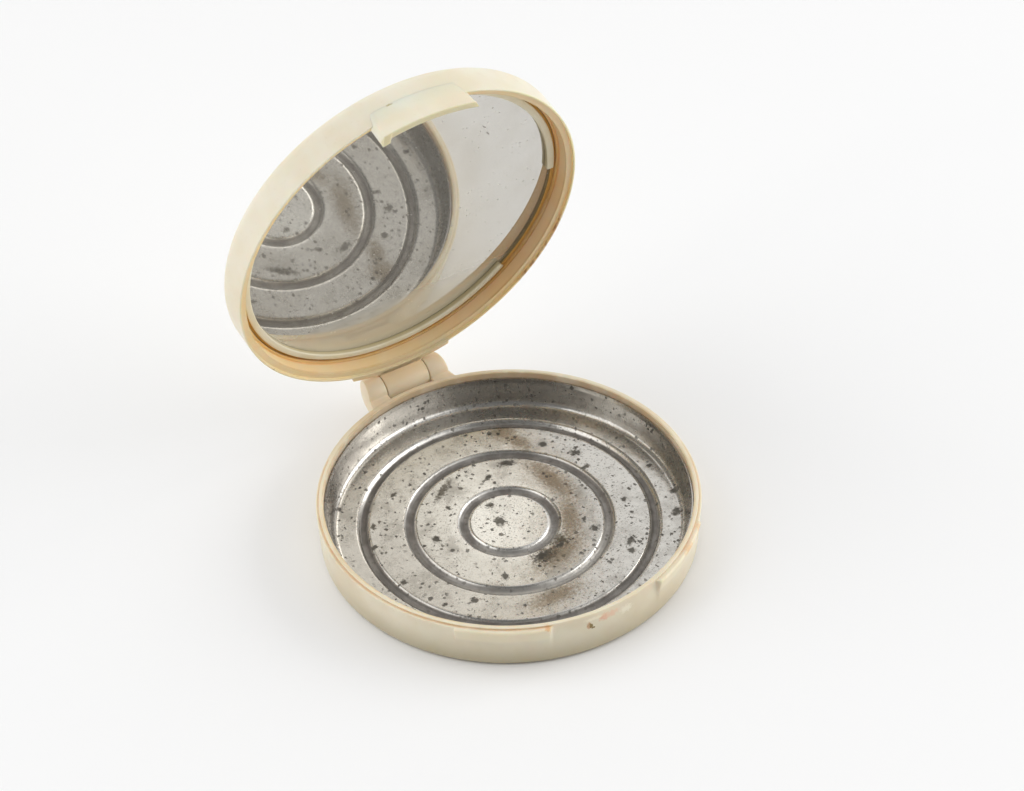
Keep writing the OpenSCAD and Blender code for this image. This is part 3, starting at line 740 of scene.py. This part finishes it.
def pressed_pan_tree():
    """A round sheet pressed into concentric channels, with a bend and a wall at its edge.

    Each row of a grid is one radius. Its way along the section, in millimetres from the centre,
    gives its radius and height: floor and channels, then the bend, the leaning wall and the band.
    """
    tree = bpy.data.node_groups.new("pressed_pan", "GeometryNodeTree")
    sizes = {"Floor radius": 0.0, "Floor height": PAN_FLAT_Z, "Bend radius": PAN_BEND, "Wall angle": 0.0,
             "Wall length": 0.0, "Band height": PAN_BAND, "Channel width": CHANNEL_W,
             "Channel flat": CHANNEL_FLAT, "Channel depth": CHANNEL_DEEP}
    tree.interface.new_socket("Geometry", in_out="OUTPUT", socket_type="NodeSocketGeometry")
    for kind, names in (("Float", sizes), ("Int", ("Rows", "Spokes")), ("Material", ("Tin",))):
        for name in names:
            tree.interface.new_socket(name, in_out="INPUT", socket_type="NodeSocket" + kind)
    size = tree.nodes.new("NodeGroupInput").outputs
    floor_r, bend_r, angle = size["Floor radius"], size["Bend radius"], size["Wall angle"]
    grid = put(tree, "GeometryNodeMeshGrid", {
        "Size X": 1.0, "Size Y": 1.0, "Vertices X": size["Rows"], "Vertices Y": size["Spokes"]})
    place = put(tree, "GeometryNodeInputPosition")
    across, around, _ = put(tree, "ShaderNodeSeparateXYZ", {0: place}, out=None).outputs
    bend_length = put(tree, MATH, {0: bend_r, 1: angle}, operation="MULTIPLY")
    length = floor_r
    for more in (bend_length, size["Wall length"], size["Band height"]):
        length = put(tree, MATH, {0: length, 1: more}, operation="ADD")
    share = put(tree, MATH, {0: across, 1: 0.5}, operation="ADD")
    way = put(tree, MATH, {0: share, 1: length}, operation="MULTIPLY")
    radius = put(tree, MATH, {0: way, 1: floor_r}, operation="MINIMUM")
    # Every channel is a flat bottom between two cosine flanks
    half = put(tree, MATH, {0: size["Channel width"], 1: 0.5}, operation="MULTIPLY")
    flat = put(tree, MATH, {0: size["Channel flat"], 1: 0.5}, operation="MULTIPLY")
    depth = 0.0
    for middle in CHANNEL_SHARES:
        centre = put(tree, MATH, {0: floor_r, 1: middle}, operation="MULTIPLY")
        away = put(tree, MATH, {0: radius, 1: centre}, operation="SUBTRACT")
        away = put(tree, MATH, {0: away}, operation="ABSOLUTE")
        flank = put(tree, RANGE, {0: away, 1: flat, 2: half, 3: 0.0, 4: math.pi})
        wave = put(tree, MATH, {0: flank}, operation="COSINE")
        wave = put(tree, MATH, {0: wave, 1: 0.5, 2: 0.5}, operation="MULTIPLY_ADD")
        depth = put(tree, MATH, {0: depth, 1: wave}, operation="ADD")
    drop = put(tree, MATH, {0: depth, 1: size["Channel depth"]}, operation="MULTIPLY")
    height = put(tree, MATH, {0: size["Floor height"], 1: drop}, operation="SUBTRACT")
    # The bend turns the section up by the wall's angle
    past = put(tree, MATH, {0: way, 1: floor_r}, operation="SUBTRACT")
    turn = put(tree, MATH, {0: past, 1: bend_r}, operation="DIVIDE")
    turn = put(tree, "ShaderNodeClamp", {0: turn, 1: 0.0, 2: angle})
    out = put(tree, MATH, {0: turn}, operation="SINE")
    radius = put(tree, MATH, {0: out, 1: bend_r, 2: radius}, operation="MULTIPLY_ADD")
    up = put(tree, MATH, {0: turn}, operation="COSINE")
    up = put(tree, MATH, {0: 1.0, 1: up}, operation="SUBTRACT")
    height = put(tree, MATH, {0: up, 1: bend_r, 2: height}, operation="MULTIPLY_ADD")
    # The wall runs straight at its angle, and the band above it upright
    past = put(tree, MATH, {0: past, 1: bend_length}, operation="SUBTRACT")
    climb = put(tree, "ShaderNodeClamp", {0: past, 1: 0.0, 2: size["Wall length"]})
    lean = put(tree, MATH, {0: angle}, operation="COSINE")
    rise = put(tree, MATH, {0: angle}, operation="SINE")
    radius = put(tree, MATH, {0: climb, 1: lean, 2: radius}, operation="MULTIPLY_ADD")
    height = put(tree, MATH, {0: climb, 1: rise, 2: height}, operation="MULTIPLY_ADD")
    past = put(tree, MATH, {0: past, 1: size["Wall length"]}, operation="SUBTRACT")
    upright = put(tree, "ShaderNodeClamp", {0: past, 1: 0.0, 2: size["Band height"]})
    height = put(tree, MATH, {0: height, 1: upright}, operation="ADD")
    # Rows go round the centre
    round_by = put(tree, MATH, {0: around, 1: math.tau}, operation="MULTIPLY")
    east = put(tree, MATH, {0: round_by}, operation="COSINE")
    north = put(tree, MATH, {0: round_by}, operation="SINE")
    east = put(tree, MATH, {0: east, 1: radius}, operation="MULTIPLY")
    north = put(tree, MATH, {0: north, 1: radius}, operation="MULTIPLY")
    point = put(tree, JOIN, {0: east, 1: north, 2: height})
    point = put(tree, VECTOR_MATH, {0: point, "Scale": MM}, operation="SCALE")
    shape = put(tree, "GeometryNodeSetPosition", {"Geometry": grid, "Position": point})
    shape = put(tree, "GeometryNodeMergeByDistance", {"Geometry": shape, "Distance": PAN_WELD * MM})
    shape = put(tree, "GeometryNodeSetMaterial", {"Geometry": shape, "Material": size["Tin"]})
    put(tree, "NodeGroupOutput", {"Geometry": shape}, out=None)
    return tree, sizes


def powder_pan(material):
    """The tin pan: the pressed sheet from its tree, given the tin's thickness."""
    wall_h = PAN_TOP - PAN_BAND - PAN_FLAT_Z
    angle = math.atan2(wall_h, PAN_LEAN)
    tangent = PAN_BEND * math.tan(angle / 2)
    tree, sizes = pressed_pan_tree()
    sizes.update({"Floor radius": PAN_R - PAN_LEAN - tangent, "Wall angle": angle,
                  "Wall length": math.hypot(PAN_LEAN, wall_h) - tangent,
                  "Rows": 226, "Spokes": 161, "Tin": material})
    piece = add_object("powder_pan_sheet", bpy.data.meshes.new("powder_pan_sheet"))
    maker = piece.modifiers.new("pressed", "NODES")
    maker.node_group = tree
    for item in tree.interface.items_tree:
        if item.in_out == "INPUT":
            maker[item.identifier] = sizes[item.name]
    wall = piece.modifiers.new("tin", "SOLIDIFY")
    wall.thickness, wall.offset = TIN_T * MM, 0.0
    settle(piece, TIN_SHARP)
    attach(piece, "base")
    return piece


# The compact

# Marks on the walls, set out as arc from the front, height, half sizes and turn
BASE_MARKS = [
    ("#c9a27c", 0.4, [(-4.5, 7.1, 0.5, 0.7, 0)]),
    ("#8c7440", 0.3, [(-4.1, 6.9, 0.35, 0.6, 15), (-3.7, 6.4, 0.4, 0.2, -20)]),
    ("#e8b898", 0.5, [(-1.2, 8.0, 1.0, 0.75, 0)]),
    ("#ecccb0", 0.6, [(0.4, 8.1, 1.4, 0.7, 0)]),
    ("#e0b98c", 0.6, [(-12.9, 9.4, 0.5, 0.3, 0)]),
    ("#e4c296", 0.7, [(23.0, 9.1, 1.6, 0.4, 0), (29.0, 9.0, 1.2, 0.4, 10)]),
    ("#f2e8d0", 0.5, [(3.8, 7.5, 1.3, 0.8, 0), (-3.4, 8.5, 1.8, 0.35, 0)]),
]
LID_MARKS = [("#c3b58a", 0.5, [(-5.0, 12.2, 0.7, 0.22, 0)])]
# Nicks in the mirror's silver: place, half sizes and turn
GLASS_NICKS = [(18.1, -18.4, 0.7, 0.14, 50), (19.1, -16.2, 0.7, 0.16, 60), (26.8, -9.7, 0.3, 0.12, 20)]
# Marks on the pan's floor: place, half sizes and turn
PAN_BLOBS = [
    (-1.5, 1.0, 1.0, 1.2, 20), (-0.8, 5.9, 0.8, 0.6, 0), (8.3, 14.7, 1.5, 0.8, -20),
    (3.0, 13.1, 0.9, 0.5, 30), (-8.6, -12.7, 0.6, 0.9, -20), (-8.1, 9.7, 0.4, 0.7, 10),
    (17.2, 15.6, 0.8, 0.7, 0), (12.7, -7.3, 0.4, 0.9, -35), (13.1, -10.5, 0.9, 0.8, 20),
    (-15.4, 18.7, 0.7, 0.5, 20), (-23.2, 12.9, 0.5, 0.8, -20), (-26.0, 7.7, 0.7, 0.5, 0),
    (-14.7, 3.2, 0.8, 0.8, 0), (-26.0, -3.8, 0.6, 0.6, 0), (-17.1, -15.3, 0.7, 0.7, 0),
    (-22.4, -13.3, 0.6, 0.4, 0), (21.5, 10.1, 1.0, 0.8, -30), (21.0, 5.4, 1.0, 0.5, 20),
    (22.2, -6.6, 0.6, 0.6, 0), (17.0, -17.4, 1.2, 0.6, 35), (15.8, -19.6, 0.8, 0.8, 0),
    (29.2, -15.1, 1.1, 0.9, 20), (32.0, -9.8, 0.8, 0.7, 0), (31.8, -1.0, 0.7, 0.5, 0),
    (23.9, 14.8, 0.4, 0.4, 0), (0.4, -11.5, 1.6, 0.7, 10), (4.9, -10.9, 0.9, 0.5, 20),
    (24.8, -4.6, 0.3, 0.4, 0),
]
PAN_SOOT = [(1.0, -12.0, 2.6, 1.6, 10), (5.5, -10.0, 2.0, 1.2, 40), (-6.5, 14.5, 3.0, 0.7, 35)]
PAN_FILM = [
    (13.3, 6.0, 2.0, 6.5, 10), (10.5, -5.5, 1.8, 5.0, -25), (4.0, -12.5, 5.5, 2.6, 20),
    (-3.0, -22.5, 5.0, 1.8, 0), (13.5, 19.0, 1.6, 3.2, 15), (12.5, 23.0, 2.5, 2.5, 0),
]
PAN_PEPPER = [
    (-6.0, 14.0, 7.0, 3.5, 35), (0.0, 0.0, 7.5, 7.5, 0), (1.5, -13.0, 9.0, 3.4, 10),
    (13.0, 0.0, 4.0, 11.0, 0), (22.5, 6.0, 3.4, 14.0, 0), (18.0, -15.0, 9.0, 3.4, 35),
    (2.0, -24.0, 12.0, 3.0, 0),
]

ivory_base = aged_ivory("moulded_ivory_base", False, "#ebe1ca", "#dfd2b7", base_stains_and_painted_light, BASE_MARKS)
ivory_lid = aged_ivory("moulded_ivory_lid", True, "#ece6d3", "#e6dcc2", lid_stains_and_painted_shade, LID_MARKS)
tin = tinplate("pressed_tinplate")
celluloid = celluloid_strip("celluloid_strip")
# Drawn steel wire: grey, with faint draw marks
wire = plain_stock("drawn_steel_wire", "#a5a29c", "#8b8780", 0.4, Metallic=1.0, Roughness=0.35)
# Pressed grey-brown card, only ever seen from behind the glass
card = plain_stock("pressed_card", "#8f7d60", "#7c6b50", 0.5, Roughness=0.9)
glass = silvered_glass("silvered_glass")

casing = finish_piece("base_shell", base_casing(), "base", ivory_base)
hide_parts("base_casing")
for side, way in {"left": -1, "right": 1}.items():
    bored(finish_piece("base_knuckle_" + side, base_knuckle(way), "base", ivory_base,
                       bevel=0.18))
pan = powder_pan(tin)
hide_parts("powder_pan")

lid = finish_piece("lid_shell", lid_casing(), "lid", ivory_lid, OPENING)
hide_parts("lid_casing")
finish_piece("lid_tab", thumb_tab(), "lid", ivory_lid, OPENING, bevel=0.14)
finish_piece("lid_hinge_land", hinge_land(), "lid", ivory_lid, OPENING, bevel=0.2)
bored(finish_piece("lid_knuckle", lid_knuckle(), "lid", ivory_lid, OPENING, bevel=0.15))
ring = finish_piece("mirror_split_ring", mirror_ring(), "lid", celluloid, OPENING)
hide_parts("mirror_ring")
silver = finish_piece("mirror_silvering", silvering(), "lid", glass, OPENING)
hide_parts("mirror_glass")
for node, material in (("mirror_backing", card), ("hinge_pin", wire)):
    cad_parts[node].data.materials.clear()
    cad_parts[node].data.materials.append(material)


# Floor, light and camera

# The overhead cloth, which lights the scene, then what tin and glass show: the room's bright end
# and its windows. Each has the way to its middle, the cosines off that way at which it begins and
# is full, and its least and most brightness
OVERHEAD = ((0.05, 0.35, 0.93), 0.0, 0.95, 0.03, 0.91)
BRIGHT_END_AND_WINDOWS = [
    ((0.47, 0.8, 0.37), 0.3, 0.85, 0.17, 0.9),
    ((0.75, 0.63, 0.2), 0.93, 0.99, 0.0, 0.95),
    ((0.42, -0.79, 0.445), 0.89, 0.96, 0.0, 1.06),
    ((0.66, -0.74, 0.15), 0.94, 0.985, 0.0, 1.6),
    ((0.375, -0.395, 0.838), 0.92, 0.98, 0.0, 0.65),
]
# Soft boxes that face the compact: place in metres, size and power
LAMPS = [
    ("right_softbox", (0.73, -1.04, 0.60), 0.95, 1.7),
    ("right_side_softbox", (1.11, -0.40, 0.40), 1.0, 10.0),
    ("left_softbox", (-1.0, 0.45, 0.70), 1.5, 9.5),
]


def studio():
    """A pale sheet under the compact, a soft light overhead and a room darker behind the camera."""
    bpy.ops.mesh.primitive_plane_add(size=6, location=(0, 0, -0.00003))
    floor = bpy.context.object
    floor.name = "studio_floor"
    paper = new_surface("white_paper_sheet", Roughness=0.9, Base_Color=srgb("#f5f5f5"),
                        Specular_IOR_Level=0.0)[0]
    floor.data.materials.append(paper)

    world = bpy.data.worlds.new("studio_room")
    bpy.context.scene.world = world
    world.use_nodes = True
    tree = world.node_tree
    tree.nodes.clear()
    toward = put(tree, "ShaderNodeTexCoord", out=0)
    seen = put(tree, "ShaderNodeLightPath", out=None)
    levels = []
    for facing, begins, full, least, most in [OVERHEAD] + BRIGHT_END_AND_WINDOWS:
        lit = put(tree, VECTOR_MATH, {0: toward, 1: facing}, out=1, operation="DOT_PRODUCT")
        levels.append(put(tree, RANGE, {0: lit, 1: begins, 2: full, 3: least, 4: most},
                          interpolation_type="SMOOTHSTEP"))
    straight = put(tree, MATH, {0: seen.outputs["Diffuse Depth"], 1: 0.5}, operation="LESS_THAN")
    mirrored = overlap(tree, seen.outputs["Is Glossy Ray"], straight)
    level = put(tree, "ShaderNodeMix", {0: mirrored, 2: levels[0], 3: either(tree, *levels[1:])})
    room = put(tree, "ShaderNodeBackground", {"Color": srgb("#ffffff"), "Strength": level})
    backdrop = put(tree, "ShaderNodeBackground", {"Color": srgb("#fafafa"), "Strength": 1.0})
    both = put(tree, "ShaderNodeMixShader", {0: seen.outputs["Is Camera Ray"], 1: room, 2: backdrop})
    put(tree, "ShaderNodeOutputWorld", {"Surface": both}, out=None)

    aim = Vector((0, 0, 0.02))
    for name, at, size, power in LAMPS:
        light = bpy.data.lights.new(name, "AREA")
        light.shape, light.size, light.energy = "SQUARE", size, power
        lamp = add_object(name, light)
        lamp.location = at
        lamp.rotation_euler = (aim - Vector(at)).to_track_quat("-Z", "Y").to_euler()


def camera():
    """The photograph's viewpoint: a long lens, from 30 degrees left of the front, 42 degrees up."""
    lens = bpy.data.cameras.new("photo_camera")
    lens.lens, lens.sensor_width, lens.clip_start = 150.2, 36.0, 0.05
    view = add_object("photo_camera", lens)
    heading, pitch, roll = math.radians(30.138), math.radians(41.627), math.radians(-1.5465)
    view.matrix_world = (Matrix.Translation((-0.30414, -0.52624, 0.57571))
                         @ Matrix.Rotation(-heading, 4, "Z") @ Matrix.Rotation(math.pi / 2 - pitch, 4, "X")
                         @ Matrix.Rotation(roll, 4, "Z"))
    bpy.context.scene.camera = view


studio()
camera()
bpy.context.scene.view_settings.view_transform = "Standard"
